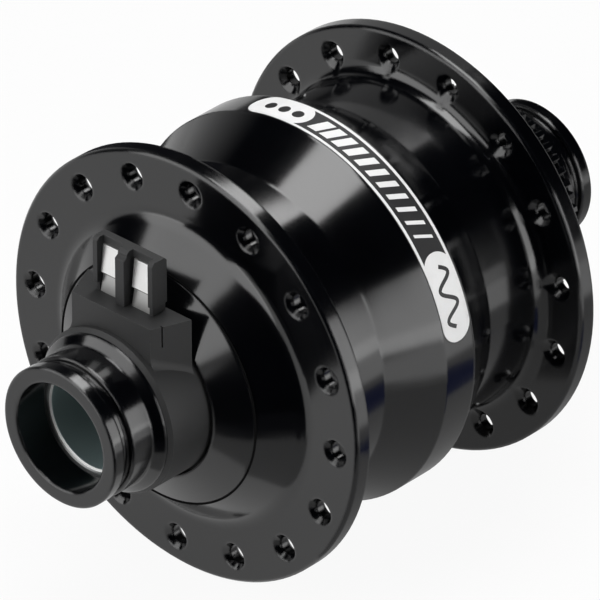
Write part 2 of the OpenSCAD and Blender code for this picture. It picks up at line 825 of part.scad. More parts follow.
// Moulded ring round the axle, with the block that carries the terminals
module connector_body() {
    plinth_w = tower_w - 2 * plinth_inset;
    slit_x = block_front_w / 2 + (block_back_w - block_front_w) / 2 * slit_setback / block_depth;
    color(grey_plastic)
        difference() {
            union() {
                turned()
                    polygon([
                        [axle_r, connector_front],
                        [connector_r - connector_bevel, connector_front],
                        [connector_r, connector_front + connector_bevel],
                        [connector_r, connector_back],
                        [axle_r, connector_back]
                    ]);
                connector_block();
                translate([-plinth_w / 2, tower_front + plinth_inset, shelf_h - cut])
                    cube([plinth_w, tower_t - plinth_inset, plinth_h + cut]);
            }
            turned()
                translate([0, connector_front - cut])
                    square([axle_r, connector_w + 2 * cut]);
            on_each_side(contact_x)
                translate([-contact_w / 2, contact_front, contact_low])
                    cube([contact_w, contact_t, tower_top]);
            on_each_side(window_x)
                translate([-window_w / 2, tower_front, shelf_h])
                    cube([window_w, contact_inset + contact_t / 2, plinth_h + cut]);
            on_each_side(slit_x)
                translate([-slit_depth, block_front + slit_setback - slit_w / 2, shelf_h - slit_len])
                    cube([2 * slit_depth, slit_w, slit_len + cut]);
            on_each_side(lead_offset)
                translate([0, lead_rise_y, 0])
                    cylinder(h = lead_end_z + lead_hole_r, r = lead_hole_r);
        }
}

// A side view, drawn as height against place along the axle, made into a bar of the given width
module across(width) {
    translate([-width / 2, 0, 0])
        rotate([90, 0, 90])
            linear_extrude(width)
                children();
}

// Upright that holds the two contacts, with a back wall, a bar over the windows and three posts,
// of which the middle one stands forward and reaches down to the block
module terminal_tower() {
    post_front = tower_front - post_reach;
    color(grey_plastic)
        union() {
            difference() {
                across(tower_w)
                    polygon([
                        [tower_front, tower_base],
                        [tower_back, tower_base],
                        [tower_back, tower_top - tower_bevel],
                        [tower_back - tower_bevel, tower_top],
                        [tower_front + tower_bevel, tower_top],
                        [tower_front, tower_top - tower_bevel]
                    ]);
                on_each_side(window_x) {
                    translate([-window_w / 2, tower_front - cut, tower_base - cut])
                        cube([window_w, contact_inset + contact_t + cut, tower_h - bar_h + cut]);
                    translate([-window_w / 2, tower_front - cut, contact_top - cut])
                        cube([window_w, bar_setback + cut, bar_h + 2 * cut]);
                }
            }
            across(post_w)
                polygon([
                    [post_front, shelf_h],
                    [tower_front + plinth_inset, shelf_h],
                    [tower_front + plinth_inset, tower_base],
                    [tower_front + bar_setback, tower_base],
                    [tower_front + bar_setback, tower_top],
                    [post_front, tower_top - bar_setback]
                ]);
        }
}

// Sprung metal blade behind a window, bent at the block's top and at a fold above it, its foot in the block
module contact(side) {
    fold_z = shelf_h + contact_fold_h;
    color("#d8dadc")
        translate([side * contact_x, 0, 0])
            across(contact_w)
                polygon([
                    [contact_front, contact_low],
                    [contact_front, shelf_h],
                    [contact_front - contact_lean, shelf_h],
                    [contact_front, fold_z],
                    [contact_front - contact_bulge, fold_z],
                    [contact_front, contact_top],
                    [contact_back, contact_top],
                    [contact_back - contact_bulge, fold_z + contact_t],
                    [contact_back, fold_z + contact_t],
                    [contact_back - contact_lean, shelf_h + contact_t],
                    [contact_back, shelf_h + contact_t],
                    [contact_back, contact_low]
                ]);
}

module live_contact() {
    contact(1);
}

module ground_contact() {
    contact(-1);
}

// Straight run of a lead with round ends
module lead_run(from, to) {
    way = to - from;
    translate(from)
        rotate([0, acos(way[2] / norm(way)), atan2(way[1], way[0])])
            cylinder(h = norm(way), r = lead_r);
}

module lead(side) {
    x = side * lead_offset;
    route = [
        [x, -coil_edge, lead_exit_r],
        [x, lead_drop_y, lead_exit_r],
        [x, lead_drop_y, lead_z],
        [x, lead_rise_y, lead_z],
        [x, lead_rise_y, lead_end_z]
    ];
    color(side > 0 ? "#b03030" : "#2b2b2b")
        union() {
            for (i = [0 : len(route) - 2])
                lead_run(route[i], route[i + 1]);
            for (i = [1 : len(route) - 2])
                translate(route[i])
                    sphere(lead_r);
        }
}

module live_lead() {
    lead(1);
}

module ground_lead() {
    lead(-1);
}

// Spacer between the connector and the dynamo-side bearing
module connector_spacer() {
    color(bare_metal)
        ring(axle_r, spacer_r, connector_back, near_bearing_y);
}

// Spacer between the dynamo-side bearing and the stator, slotted where the leads go down to the axle
module stator_spacer() {
    slot_y = lead_drop_y - lead_hole_r;
    color(bare_metal)
        difference() {
            ring(axle_r, spacer_r, near_bearing_end, -magnet_edge);
            translate([-lead_groove_w / 2, slot_y, 0])
                cube([lead_groove_w, -magnet_edge - slot_y + cut, spacer_r + cut]);
        }
}

// Steel sleeve that joins the two claw plates through the coil
module stator_core() {
    color(steel)
        ring(axle_r, core_r, -core_edge, core_edge);
}

// Plate with a crown of tapered claws that reach over the coil, here with its plate at -Y,
// made as a cup whose wall is cut away between the claws down to the rim of the coil bobbin
module claw_plate() {
    claw_end = magnet_edge - claw_tip_gap;
    pitch = 360 / pole_pairs;
    spacing = 2 * PI * claw_r / pole_pairs;
    root_gap = spacing - claw_root_w;
    tip_gap = spacing - claw_tip_w;
    widening = (tip_gap - root_gap) / (claw_end + magnet_edge);
    difference() {
        turned()
            polygon([
                [axle_r, -magnet_edge],
                [claw_r, -magnet_edge],
                [claw_r, claw_end],
                [claw_in_r, claw_end],
                [claw_in_r, -core_edge],
                [axle_r, -core_edge]
            ]);
        for (i = [0 : pole_pairs - 1])
            rotate([0, (i + 0.5) * pitch, 0])
                translate([0, 0, cheek_r])
                    linear_extrude(claw_r)
                        polygon([
                            [(-root_gap + widening * cut) / 2, -magnet_edge - cut],
                            [(root_gap - widening * cut) / 2, -magnet_edge - cut],
                            [(tip_gap + widening * cut) / 2, claw_end + cut],
                            [(-tip_gap - widening * cut) / 2, claw_end + cut]
                        ]);
    }
}

// Claw plate next to the leads, drilled for them
module left_claw_plate() {
    color(steel)
        difference() {
            claw_plate();
            lead_holes(-magnet_edge - cut, -core_edge + cut);
        }
}

// Claw plate against the axle's collar, turned by half a pitch so that its claws mesh with the other's
module right_claw_plate() {
    color(steel)
        mirror([0, 1, 0])
            rotate([0, 180 / pole_pairs, 0])
                claw_plate();
}

module lead_holes(from_y, to_y) {
    for (side = [-1, 1])
        translate([side * lead_offset, from_y, lead_exit_r])
            rotate([-90, 0, 0])
                cylinder(h = to_y - from_y, r = lead_hole_r);
}

// Plastic bobbin that insulates the winding from the core and the plates
module coil_bobbin() {
    color("#d9d2c0")
        difference() {
            turned()
                polygon([
                    [core_r, -core_edge],
                    [cheek_r, -core_edge],
                    [cheek_r, -coil_edge],
                    [bobbin_r, -coil_edge],
                    [bobbin_r, coil_edge],
                    [cheek_r, coil_edge],
                    [cheek_r, core_edge],
                    [core_r, core_edge]
                ]);
            lead_holes(-core_edge - cut, -coil_edge + cut);
        }
}

// Winding of enamelled copper wire, as the solid it fills
module coil_winding() {
    color(copper)
        ring(bobbin_r, coil_r, -coil_edge, coil_edge);
}

module near_inner_race() {
    inner_race(near_bearing, near_bearing_y);
}

module near_outer_race() {
    outer_race(near_bearing, near_bearing_y);
}

module near_outer_seal() {
    bearing_seal(near_bearing, near_bearing_y + seal_inset);
}

module near_inner_seal() {
    bearing_seal(near_bearing, near_bearing_end - seal_inset - seal_t);
}

module near_balls() {
    balls(near_bearing, near_bearing_y);
}

module near_cage() {
    cage(near_bearing, near_bearing_y);
}

module far_inner_race() {
    inner_race(far_bearing, far_bearing_y);
}

module far_outer_race() {
    outer_race(far_bearing, far_bearing_y);
}

module far_outer_seal() {
    bearing_seal(far_bearing, far_bearing_end - seal_inset - seal_t);
}

module far_inner_seal() {
    bearing_seal(far_bearing, far_bearing_y + seal_inset);
}

module far_balls() {
    balls(far_bearing, far_bearing_y);
}

module far_cage() {
    cage(far_bearing, far_bearing_y);
}

axle_tube();
dynamo_end_cap();
disc_end_cap();
dynamo_cap_o_ring();
disc_cap_o_ring();
connector_body();
terminal_tower();
live_contact();
ground_contact();
live_lead();
ground_lead();
connector_spacer();
stator_spacer();
stator_core();
left_claw_plate();
right_claw_plate();
coil_bobbin();
coil_winding();
near_inner_race();
far_inner_race();
main_shell();
disc_side_shell();
side_cover();
cover_dust_seal();
flux_ring();
magnets();
near_outer_race();
near_outer_seal();
near_inner_seal();
far_outer_race();
far_outer_seal();
far_inner_seal();
near_balls();
near_cage();
far_balls();
far_cage();
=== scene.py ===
import json
import math

import bmesh
import bpy
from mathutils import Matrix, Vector

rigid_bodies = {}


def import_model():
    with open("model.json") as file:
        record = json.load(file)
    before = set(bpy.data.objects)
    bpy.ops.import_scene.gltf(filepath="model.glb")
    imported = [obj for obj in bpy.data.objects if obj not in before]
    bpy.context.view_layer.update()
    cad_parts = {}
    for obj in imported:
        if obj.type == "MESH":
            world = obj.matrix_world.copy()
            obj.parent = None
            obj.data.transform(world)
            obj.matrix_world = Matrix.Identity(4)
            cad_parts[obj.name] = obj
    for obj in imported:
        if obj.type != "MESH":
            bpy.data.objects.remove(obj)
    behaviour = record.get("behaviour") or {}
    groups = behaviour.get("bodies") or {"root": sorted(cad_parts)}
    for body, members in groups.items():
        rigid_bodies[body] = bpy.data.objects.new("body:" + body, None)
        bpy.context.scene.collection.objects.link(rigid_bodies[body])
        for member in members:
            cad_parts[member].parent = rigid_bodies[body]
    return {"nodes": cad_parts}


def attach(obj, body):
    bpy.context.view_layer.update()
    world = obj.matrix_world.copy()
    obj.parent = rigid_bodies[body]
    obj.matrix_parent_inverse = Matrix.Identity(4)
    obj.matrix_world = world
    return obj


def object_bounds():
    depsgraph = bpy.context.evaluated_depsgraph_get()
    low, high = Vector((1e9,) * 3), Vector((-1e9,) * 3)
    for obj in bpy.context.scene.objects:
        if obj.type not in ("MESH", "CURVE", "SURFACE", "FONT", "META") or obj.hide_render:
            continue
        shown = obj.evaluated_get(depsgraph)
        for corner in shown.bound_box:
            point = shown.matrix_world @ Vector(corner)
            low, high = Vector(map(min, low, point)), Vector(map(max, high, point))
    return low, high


for old in list(bpy.data.objects):
    bpy.data.objects.remove(old)
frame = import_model()
cad_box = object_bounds()
scene = bpy.context.scene
scene.view_settings.view_transform = "Standard"

# Camera: a long lens that looks down on the connector end of the axle, so that the two flanges
# come out almost alike in size. Lengths are in metres.
azimuth = math.radians(42.71)
elevation = math.radians(31.70)
distance = 1.2567
back = Vector((math.sin(azimuth) * math.cos(elevation), -math.cos(azimuth) * math.cos(elevation),
               math.sin(elevation)))
camera = bpy.data.objects.new("camera", bpy.data.cameras.new("camera"))
camera.location = distance * back
camera.rotation_euler = (math.pi / 2 - elevation, 0, azimuth)
camera.data.lens = 530.9
camera.data.shift_x = -0.0065
camera.data.shift_y = -0.0017
scene.collection.objects.link(camera)
scene.camera = camera


# Studio: a pale floor under the flanges, a soft box overhead, a tall panel in front, a low one to the right
# and a pale wall at the left. Cards that glow evenly, white, grey, navy and black, paint light and shade into
# the reflections in the black hub. Only reflections see the cards and the wall.
def shader_node(tree, kind, inputs=None, **settings):
    made = tree.nodes.new("ShaderNode" + kind)
    for name, value in settings.items():
        setattr(made, name, value)
    for name, value in (inputs or {}).items():
        if isinstance(value, bpy.types.NodeSocket):
            tree.links.new(value, made.inputs[name])
        else:
            made.inputs[name].default_value = value
    return made


def maths(tree, operation, *values):
    return shader_node(tree, "Math", dict(enumerate(values)), operation=operation).outputs[0]


def spread(tree, value, low, high, start=0.0, end=1.0):
    return shader_node(tree, "MapRange", {"Value": value, "From Min": start, "From Max": end,
                                          "To Min": low, "To Max": high}).outputs[0]


def blend(tree, factor, first, second):
    mixed = shader_node(tree, "Mix", {"Factor": factor, "A": first, "B": second}, data_type="RGBA")
    return mixed.outputs["Result"]


def grey(level):
    return (level, level, level, 1)


def new_material(name):
    made = bpy.data.materials.new(name)
    made.use_nodes = True
    made.node_tree.nodes.clear()
    return made, made.node_tree


def give_surface(tree, kind, inputs):
    shader = shader_node(tree, kind, inputs)
    shader_node(tree, "OutputMaterial", {"Surface": shader.outputs[0]})


def flat_sheet(name, corners, material):
    mesh = bpy.data.meshes.new(name)
    mesh.from_pydata(corners, [], [range(len(corners))])
    mesh.materials.append(material)
    sheet = bpy.data.objects.new(name, mesh)
    scene.collection.objects.link(sheet)
    return sheet


floor_gap = 0.0002
floor_z = cad_box[0].z - floor_gap
floor_reach = 4
floor_sides = 64
seen_share, mirrored_share = 0.93, 0.85
mirrored_strength = 0.70
floor_material, tree = new_material("pale_floor")
path = shader_node(tree, "LightPath").outputs
seen = maths(tree, "MAXIMUM", path["Is Camera Ray"], path["Is Transmission Ray"])
seen = maths(tree, "MULTIPLY", seen, seen_share)
mirrored = maths(tree, "MULTIPLY", path["Is Glossy Ray"], mirrored_share)
cloud = shader_node(tree, "TexNoise", {"Scale": 6.0, "Detail": 2.0}).outputs["Fac"]
paper = shader_node(tree, "BsdfDiffuse", {"Color": spread(tree, cloud, 0.80, 0.84)})
strength = spread(tree, path["Is Glossy Ray"], 1.0, mirrored_strength)
glow = shader_node(tree, "Emission", {"Strength": strength})
give_surface(tree, "MixShader", {0: maths(tree, "MAXIMUM", seen, mirrored),
                                 1: paper.outputs[0], 2: glow.outputs[0]})
turns = [2 * math.pi * side / floor_sides for side in range(floor_sides)]
flat_sheet("floor", [(floor_reach * math.cos(turn), floor_reach * math.sin(turn), floor_z) for turn in turns],
           floor_material)


# A card is not lit: it glows with a set, mottled colour, painted light or shade that only reflections see.
def reflection_glow_card(name, corners, deep, pale):
    card_glow, tree = new_material(name)
    glow_mottle = shader_node(tree, "TexNoise", {"Scale": 900.0}).outputs["Fac"]
    give_surface(tree, "Emission", {"Color": blend(tree, glow_mottle, deep, pale)})
    card = flat_sheet(name, corners, card_glow)
    card.visible_camera = card.visible_diffuse = card.visible_shadow = False


def laid_flat(outline, layer):
    return [(x, y, floor_z + layer * card_thick) for x, y in outline]


def upright(y, left, right, foot, top):
    return [(left, y, foot), (right, y, foot), (right, y, top), (left, y, top)]


card_thick = 0.0001
black_deep, black_pale = (0.01, 0.01, 0.012, 1), (0.03, 0.03, 0.034, 1)
navy_deep, navy_pale = (0.03, 0.04, 0.12, 1), (0.05, 0.06, 0.16, 1)
grey_outline = [(0.013, -0.072), (0.095, -0.072), (0.095, 0.3), (-0.2, 0.3), (-0.03, -0.018),
                (0.028, -0.018), (0.02, -0.045)]
navy_outline = [(0.050, 0.012), (0.075, 0.012), (0.083, 0.05), (0.059, 0.05)]
white_outline = [(0.098, -0.05), (0.24, -0.05), (0.24, 0.3), (0.098, 0.3)]
black_outline = [(0.022, -0.4), (0.3, -0.4), (0.3, -0.055), (0.048, -0.055), (0.036, -0.068),
                 (0.022, -0.07)]
# Painted shadow: the grey sheet under and behind the hub and the black one at the front-right stand in for
# the hub's shadow on the floor in reflections.
reflection_glow_card("grey_floor_shadow_card", laid_flat(grey_outline, 1), grey(0.29), grey(0.36))
# Painted shade: a navy-dark glowing patch of floor beside the hub, seen only in reflections.
reflection_glow_card("navy_floor_shade_card", laid_flat(navy_outline, 2), navy_deep, navy_pale)
# Painted light: a glowing strip of brighter floor to the right, seen only in reflections.
reflection_glow_card("white_card", laid_flat(white_outline, 2), grey(1.05), grey(1.2))
reflection_glow_card("black_floor_shadow_card", laid_flat(black_outline, 3), black_deep, black_pale)
reflection_glow_card("black_card", upright(-0.088, 0.022, 0.20, floor_z, 0.16), grey(0), (0.003, 0.003, 0.004, 1))
reflection_glow_card("black_flag", upright(0.03, -0.088, -0.054, floor_z, 0.07), black_deep, black_pale)
reflection_glow_card("grey_flag", upright(0.06, -0.062, 0.0, 0.03, 0.085), grey(0.32), grey(0.42))


def soft_panel(name, place, rotation, size, radiance):
    light = bpy.data.lights.new(name, "AREA")
    light.shape = "RECTANGLE"
    light.size, light.size_y = size
    light.energy = radiance * math.pi * size[0] * size[1]
    panel = bpy.data.objects.new(name, light)
    panel.location = place
    panel.rotation_euler = [math.radians(angle) for angle in rotation]
    panel.visible_camera = False
    scene.collection.objects.link(panel)


soft_panel("overhead_box", (-0.031, 0.043, 0.30), (0, 0, 14), (0.150, 0.365), 4.9)
soft_panel("right_panel", (0.25, 0.048, 0.05), (0, 90, 0), (0.17, 0.275), 2.2)
soft_panel("front_panel", (-0.165, -0.50, 0.20), (73, -25, -24), (0.68, 0.60), 2.1)

wall_share = 0.78
fill_strength, mirrored_fill = 0.12, 0.003
world = bpy.data.worlds.new("studio")
world.use_nodes = True
scene.world = world
tree = world.node_tree
tree.nodes.clear()
path = shader_node(tree, "LightPath").outputs
way = shader_node(tree, "SeparateXYZ", {0: shader_node(tree, "TexCoord").outputs["Generated"]}).outputs
wall = spread(tree, way["Z"], wall_share, 0.0, -0.1, 0.62)
for limit in (spread(tree, way["X"], 1.0, 0.0, -0.6, -0.2), spread(tree, way["Y"], 0.0, 1.0, -0.15, 0.05),
              spread(tree, way["Y"], 1.0, 0.0, 0.45, 0.65), path["Is Glossy Ray"]):
    wall = maths(tree, "MULTIPLY", wall, limit)
seen = maths(tree, "MAXIMUM", path["Is Camera Ray"], path["Is Transmission Ray"])
seen = maths(tree, "MAXIMUM", seen, wall)
fill = spread(tree, path["Is Glossy Ray"], fill_strength, mirrored_fill)
dark = shader_node(tree, "Background", {"Color": grey(1), "Strength": fill})
white = shader_node(tree, "Background", {"Color": grey(1), "Strength": 1.0})
mixed = shader_node(tree, "MixShader", {0: seen, 1: dark.outputs[0], 2: white.outputs[0]})
shader_node(tree, "OutputWorld", {"Surface": mixed.outputs[0]})


# Shell, side cover and end caps: turned from aluminium bar, fine blasted and anodised black. The finish is
# smooth and glossy, with faint turning lines round the axle and soft smears from handling. Edges are broken,
# less so on the spline, and rubbed a little paler.
def new_group(name, takes, gives):
    group = bpy.data.node_groups.new(name, "ShaderNodeTree")
    for label, value in takes.items():
        socket = group.interface.new_socket(label, in_out="INPUT", socket_type="NodeSocketFloat")
        socket.default_value = value
    group.interface.new_socket(gives, in_out="OUTPUT", socket_type="NodeSocketFloat")
    taken = group.nodes.new("NodeGroupInput").outputs
    given = group.nodes.new("NodeGroupOutput").inputs[gives]
    return group, taken, given


def group_node(tree, group, **values):
    made = tree.nodes.new("ShaderNodeGroup")
    made.node_tree = group
    for name, value in values.items():
        made.inputs[name].default_value = value
    return made.outputs[0]


def on_piece(tree):
    return shader_node(tree, "TexCoord").outputs["Object"]


def axes(tree):
    return shader_node(tree, "SeparateXYZ", {0: on_piece(tree)}).outputs


def from_axle(tree, place):
    squares = [maths(tree, "MULTIPLY", place[axis], place[axis]) for axis in "XZ"]
    return maths(tree, "SQRT", maths(tree, "ADD", *squares))


def relief(tree, height, strength, depth, **more):
    inputs = {"Height": height, "Strength": strength, "Distance": depth, **more}
    return shader_node(tree, "Bump", inputs).outputs[0]


def finish_nodes(names, material):
    for name in names:
        frame["nodes"][name].material_slots[0].material = material


turning, taken, given = new_group("turning_lines", {"Fineness": 4000.0}, "Lines")
place = axes(turning)
outward = maths(turning, "MULTIPLY", from_axle(turning, place), taken["Fineness"])
lengthwise = maths(turning, "MULTIPLY", place["Y"], taken["Fineness"])
spot = shader_node(turning, "CombineXYZ", {"X": outward, "Y": lengthwise}).outputs[0]
lines = shader_node(turning, "TexNoise", {"Vector": spot, "Scale": 1.0, "Detail": 2.0, "Roughness": 0.6})
turning.links.new(lines.outputs["Fac"], given)

handling, taken, given = new_group("handling_smears", {"Scale": 90.0}, "Smear")
smear = shader_node(handling, "TexNoise", {"Vector": on_piece(handling), "Scale": taken["Scale"],
                                           "Detail": 5.0, "Roughness": 0.62, "Distortion": 0.4})
handling.links.new(spread(handling, smear.outputs["Fac"], 0.0, 1.0, 0.3, 0.7), given)

rubbing, taken, given = new_group("rubbed_edges", {"Width": 0.0002, "Break": 900.0}, "Mask")
rounded = shader_node(rubbing, "Bevel", {"Radius": taken["Width"]}, samples=6).outputs[0]
square = shader_node(rubbing, "NewGeometry").outputs["Normal"]
facing = shader_node(rubbing, "VectorMath", {0: rounded, 1: square}, operation="DOT_PRODUCT")
edge = spread(rubbing, facing.outputs["Value"], 0.0, 1.0, 0.985, 0.86)
patch = shader_node(rubbing, "TexNoise", {"Vector": on_piece(rubbing), "Scale": taken["Break"],
                                          "Detail": 3.0})
patch = spread(rubbing, patch.outputs["Fac"], 0.0, 1.0, 0.35, 0.65)
rubbing.links.new(maths(rubbing, "MULTIPLY", edge, patch), given)

dyed_black, handled_black = (0.0005, 0.0006, 0.0011, 1), (0.0009, 0.0011, 0.0018, 1)
rubbed_black = (0.02, 0.021, 0.024, 1)
spline_mid, spline_half = 0.0361, 0.0041
turned_edge, spline_edge = 0.0006, 0.0002
anodised, tree = new_material("black_anodised_finish")
lines = group_node(tree, turning, Fineness=5000.0)
smear = group_node(tree, handling, Scale=70.0)
worn = group_node(tree, rubbing, Width=0.00015, Break=1500.0)
dye = blend(tree, worn, blend(tree, smear, dyed_black, handled_black), rubbed_black)
gloss = maths(tree, "ADD", spread(tree, smear, 0.10, 0.14), maths(tree, "MULTIPLY", lines, 0.03))
on_spline = maths(tree, "COMPARE", axes(tree)["Y"], spline_mid, spline_half)
edge_round = spread(tree, on_spline, turned_edge, spline_edge)
broken_edge = shader_node(tree, "Bevel", {"Radius": edge_round}, samples=6).outputs[0]
ripple = relief(tree, lines, 0.02, 0.0001, Normal=broken_edge)
give_surface(tree, "BsdfPrincipled", {"Base Color": dye, "Roughness": gloss, "IOR": 1.7, "Normal": ripple})
finish_nodes(["main_shell", "disc_side_shell", "side_cover", "dynamo_end_cap", "disc_end_cap"], anodised)


# A dull black bead round the joint between the nose and its side cover, lying over the cover's bevelled edge:
# it is painted shade, standing in for the shade in the seam gap, and shows as a fine dark line round the
# nose.
def new_piece(name, bm, material):
    bmesh.ops.recalc_face_normals(bm, faces=bm.faces)
    mesh = bpy.data.meshes.new(name)
    bm.to_mesh(mesh)
    bm.free()
    mesh.materials.append(material)
    piece = bpy.data.objects.new(name, mesh)
    scene.collection.objects.link(piece)
    return piece


seam_shade_deep, seam_shade_pale = (0.0012, 0.0012, 0.0013, 1), (0.0028, 0.0028, 0.003, 1)
seam_shade, tree = new_material("seam_shade_finish")
smear = group_node(tree, handling, Scale=400.0)
give_surface(tree, "BsdfPrincipled", {"Base Color": blend(tree, smear, seam_shade_deep, seam_shade_pale),
                                      "Roughness": spread(tree, smear, 0.72, 0.90), "IOR": 1.2})

# Painted shade: a thin dark ring standing in for the shade in the seam gap.
bead_r, bead_y = 0.01865, -0.03005
bead_thick = 0.00014
bead_sides, bead_steps = 10, 180
bm = bmesh.new()
rings = []
for step in range(bead_steps):
    turn = 2 * math.pi * step / bead_steps
    ring = []
    for side in range(bead_sides):
        round_bead = 2 * math.pi * side / bead_sides
        radius = bead_r + bead_thick * math.cos(round_bead)
        y = bead_y + bead_thick * math.sin(round_bead)
        ring.append(bm.verts.new((radius * math.sin(turn), y, radius * math.cos(turn))))
    rings.append(ring)
for step, ring in enumerate(rings):
    after = rings[(step + 1) % bead_steps]
    for side in range(bead_sides):
        beside = (side + 1) % bead_sides
        bm.faces.new((ring[side], after[side], after[beside], ring[beside])).smooth = True
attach(new_piece("seam_shade_bead", bm, seam_shade), "hub_shell")

# Label on the drum's plain band: a charcoal sticker with white ink and black over it. Two edge lines run
# between rounded end panels, with slanted bars that thin out, three dots and an alternating-current wave.
# Sizes along it are arc lengths, and each shape is a row of rungs across it.
band_r = 0.030
print_half = 0.0027
line_w = 0.00045
left_end, right_end = -0.0098, 0.0416
left_panel_end, right_panel_start = 0.0012, 0.0282
sticker_margin = 0.00015
sticker_thick, white_thick, black_thick = 0.00001, 0.00004, 0.000012
bar_count = 11
first_bar, bar_pitch = 0.0034, 0.00222
bar_half, bar_thinning = 0.00085, 0.00006
bar_reach, bar_slant = 0.0015, 0.4
dot_count = 3
dot_inset, dot_pitch, dot_d = 0.0026, 0.0026, 0.0018
wave_inset, wave_height = 0.0022, 0.0013
wave_period, wave_w = 0.0045, 0.0006
rung_pitch, wave_rung_pitch = 0.0006, 0.0002
corner_rungs = 12


def ladder(bm, rungs, radius, ink):
    rows = []
    for height in (radius - ink, radius + ink):
        rows.append([[bm.verts.new((height * math.sin(x / radius), y, height * math.cos(x / radius)))
                      for x, y in rung] for rung in rungs])
    under, over = rows
    for a, b, c, d in zip(under, under[1:], over, over[1:]):
        for corners in ((c[0], d[0], d[1], c[1]), (a[1], b[1], b[0], a[0]),
                        (a[0], b[0], d[0], c[0]), (c[1], d[1], b[1], a[1])):
            bm.faces.new(corners)
    bm.faces.new((under[0][0], over[0][0], over[0][1], under[0][1]))
    bm.faces.new((under[-1][1], over[-1][1], over[-1][0], under[-1][0]))


def straight(start, end, low, high, slant=0.0):
    count = max(2, math.ceil((end - start) / rung_pitch))
    places = [start + (end - start) * step / count for step in range(count + 1)]
    return [[(x + slant * low, low), (x + slant * high, high)] for x in places]


def rounded_panel(start, end, half):
    near_corner = []
    for step in range(1, corner_rungs + 1):
        turn = math.pi / 2 * step / corner_rungs
        x, y = start + half * (1 - math.cos(turn)), half * math.sin(turn)
        near_corner.append([(x, -y), (x, y)])
    far_corner = [[(start + end - x, y) for x, y in rung] for rung in reversed(near_corner)]
    return near_corner + straight(start + half, end - half, -half, half)[1:-1] + far_corner


def wave(start, end):
    rungs = []
    count = round((end - start) / wave_rung_pitch)
    for step in range(count + 1):
        x = start + (end - start) * step / count
        turn = 2 * math.pi * (x - start) / wave_period
        middle = wave_height * math.sin(turn)
        slope = wave_height * 2 * math.pi / wave_period * math.cos(turn)
        reach = wave_w / 2 / math.sqrt(1 + slope * slope)
        rungs.append([(x + slope * reach, middle - reach), (x - slope * reach, middle + reach)])
    return rungs


def ink_material(name, dark, pale, gloss_from, gloss_to):
    ink, tree = new_material(name)
    smear = group_node(tree, handling, Scale=260.0)
    fine = shader_node(tree, "TexNoise", {"Vector": on_piece(tree), "Scale": 6000.0, "Detail": 2.0})
    give_surface(tree, "BsdfPrincipled", {"Base Color": blend(tree, smear, dark, pale),
                                          "Roughness": spread(tree, smear, gloss_from, gloss_to),
                                          "Normal": relief(tree, fine.outputs["Fac"], 0.06, 0.00005)})
    return ink


def ink_piece(name, shapes, radius, ink, material):
    bm = bmesh.new()
    for rungs in shapes:
        ladder(bm, rungs, radius, ink)
    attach(new_piece(name, bm, material), "hub_shell")


sticker = rounded_panel(left_end - sticker_margin, right_end + sticker_margin, print_half + sticker_margin)
edge_lines = [straight(left_end + print_half, right_end - print_half, low, low + line_w)
              for low in (-print_half, print_half - line_w)]
end_panels = [rounded_panel(left_end, left_panel_end, print_half),
              rounded_panel(right_panel_start, right_end, print_half)]
bars = []
for bar in range(bar_count):
    middle = first_bar + bar * bar_pitch
    half_w = bar_half - bar * bar_thinning
    bars.append(straight(middle - half_w, middle + half_w, -bar_reach, bar_reach, bar_slant))
dots = []
for dot in range(dot_count):
    start = left_end + dot_inset + dot * dot_pitch
    dots.append(rounded_panel(start, start + dot_d, dot_d / 2))
current = wave(right_panel_start + wave_inset, right_end - wave_inset)
ink_piece("band_sticker", [sticker], band_r, sticker_thick,
          ink_material("charcoal_sticker", (0.014, 0.014, 0.015, 1), (0.021, 0.021, 0.022, 1), 0.46, 0.60))
ink_piece("band_print_white", edge_lines + end_panels + bars, band_r, white_thick,
          ink_material("white_ink", grey(0.78), grey(0.84), 0.42, 0.55))
ink_piece("band_print_black", dots + [current], band_r + white_thick, black_thick,
          ink_material("black_ink", (0.012, 0.012, 0.013, 1), (0.020, 0.020, 0.021, 1), 0.40, 0.50))

# Hollow axle: a turned aluminium tube with a dull grey-green oxide in its bore. The inner edge of its tip is
# cut bright and shows as a thin crescent inside the cap; the lathe tool leaves fine rings.
bore_reach, cut_edge_reach = 0.00756, 0.00782
dull_aluminium, clean_aluminium = (0.16, 0.17, 0.17, 1), (0.24, 0.25, 0.25, 1)
bore_oxide = (0.18, 0.24, 0.24, 1)
cut_aluminium = (0.97, 0.97, 0.96, 1)
bare, tree = new_material("bare_aluminium_finish")
lines = group_node(tree, turning, Fineness=7000.0)
smear = group_node(tree, handling, Scale=120.0)
across = from_axle(tree, axes(tree))
in_bore = maths(tree, "LESS_THAN", across, bore_reach)
outside_bore = maths(tree, "SUBTRACT", 1.0, in_bore)
cut_edge = maths(tree, "MULTIPLY", maths(tree, "LESS_THAN", across, cut_edge_reach), outside_bore)
skin = blend(tree, smear, dull_aluminium, clean_aluminium)
skin = blend(tree, cut_edge, blend(tree, in_bore, skin, bore_oxide), cut_aluminium)
gloss = maths(tree, "ADD", maths(tree, "ADD", 0.25, maths(tree, "MULTIPLY", in_bore, 0.2)),
              maths(tree, "ADD", maths(tree, "MULTIPLY", cut_edge, 0.3), maths(tree, "MULTIPLY", lines, 0.2)))
give_surface(tree, "BsdfPrincipled", {"Base Color": skin, "Metallic": outside_bore, "Roughness": gloss,
                                      "Normal": relief(tree, lines, 0.25, 0.00005)})
finish_nodes(["axle_tube"], bare)

